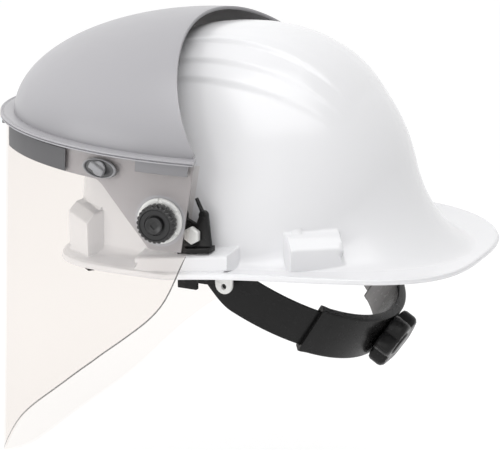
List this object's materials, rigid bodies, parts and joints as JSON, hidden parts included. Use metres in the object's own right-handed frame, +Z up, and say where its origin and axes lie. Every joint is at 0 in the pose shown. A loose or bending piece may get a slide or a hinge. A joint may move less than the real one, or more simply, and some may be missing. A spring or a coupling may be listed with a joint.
{
  "type": "hard hat with face shield",
  "caption": "Cap style hard hat worn peak to the rear, with a strap suspension, a nape ratchet and a lifting clear face shield on slot adapters.",
  "frame": {"origin": "middle of the head opening, at the level of the side brim", "axes": "+X to the rear, where the peak points, +Y to the wearer's right, +Z up"},
  "size_m": [0.344, 0.2736, 0.333],
  "materials": {
    "shell_white": "glossy injection moulded",
    "crown_grey": "satin injection moulded",
    "visor_clear": "clear polished sheet",
    "label_dark": "matte",
    "knob_dark": "satin",
    "lock_grey": "satin",
    "fitting_white": "satin",
    "black_plastic": "satin",
    "foam_black": "soft",
    "webbing_grey": "woven"
  },
  "bodies": {
    "hat": {"shell": "shell_white", "slot_adapter_left": "black_plastic", "slot_adapter_right": "black_plastic", "clamp_nut_left": "fitting_white", "clamp_nut_right": "fitting_white", "chin_lug_left": "fitting_white", "chin_lug_right": "fitting_white", "nape_strap_left": "black_plastic", "nape_strap_right": "black_plastic", "suspension_key_front_left": "black_plastic", "suspension_key_front_right": "black_plastic", "suspension_key_rear_left": "black_plastic", "suspension_key_rear_right": "black_plastic", "headband": "black_plastic", "sweatband": "foam_black", "crown_strap_lower": "webbing_grey", "crown_strap_upper": "webbing_grey"},
    "nape_sleeve": {"ratchet_sleeve": "black_plastic"},
    "nape_dial": {"ratchet_knob": "black_plastic", "ratchet_pinion": "fitting_white"},
    "face_shield": {"crown_guard": "crown_grey", "visor": "visor_clear", "label_plate": "label_dark", "pivot_ring_left": "fitting_white", "pivot_ring_right": "fitting_white", "lock_plate_left": "lock_grey", "lock_plate_right": "lock_grey"},
    "left_pivot": {"pivot_knob_left": "knob_dark", "pivot_cap_left": "knob_dark"},
    "right_pivot": {"pivot_knob_right": "knob_dark", "pivot_cap_right": "knob_dark"},
    "left_lock": {"twist_lock_left": "lock_grey", "twist_bar_left": "lock_grey"},
    "right_lock": {"twist_lock_right": "lock_grey", "twist_bar_right": "lock_grey"}
  },
  "joints": [
    {"name": "shield_lift", "type": "hinge", "parent": "hat", "child": "face_shield", "pos_m": [0.0015, 0, 0.037], "axis": [0, 1, 0], "range_deg": [0, 85]},
    {"name": "left_pivot_turn", "type": "hinge", "parent": "face_shield", "child": "left_pivot", "pos_m": [0.00122, -0.12278, 0.03702], "axis": [0.229, -0.9733, -0.0148], "range_deg": [-180, 180]},
    {"name": "right_pivot_turn", "type": "hinge", "parent": "face_shield", "child": "right_pivot", "pos_m": [0.00122, 0.12278, 0.03702], "axis": [0.229, 0.9733, -0.0148], "range_deg": [-180, 180]},
    {"name": "left_lock_turn", "type": "hinge", "parent": "face_shield", "child": "left_lock", "pos_m": [-0.03562, -0.12812, 0.06578], "axis": [-0.0323, -0.9995, 0.0021], "range_deg": [0, 90]},
    {"name": "right_lock_turn", "type": "hinge", "parent": "face_shield", "child": "right_lock", "pos_m": [-0.03562, 0.12812, 0.06578], "axis": [-0.0323, 0.9995, 0.0021], "range_deg": [-90, 0]},
    {"name": "nape_slide", "type": "slide", "parent": "hat", "child": "nape_sleeve", "axis": [0.8572, 0, -0.515], "range_m": [-0.012, 0.012], "deforming": ["nape_strap_left", "nape_strap_right"]},
    {"name": "nape_dial_turn", "type": "hinge", "parent": "nape_sleeve", "child": "nape_dial", "pos_m": [0.09257, 0, -0.05241], "axis": [0.8572, 0, -0.515], "range_deg": [-170, 170]}
  ],
  "couplings": [
    {"joint": "nape_dial_turn", "follows": "nape_slide", "rad_per_m": 238.1}
  ]
}
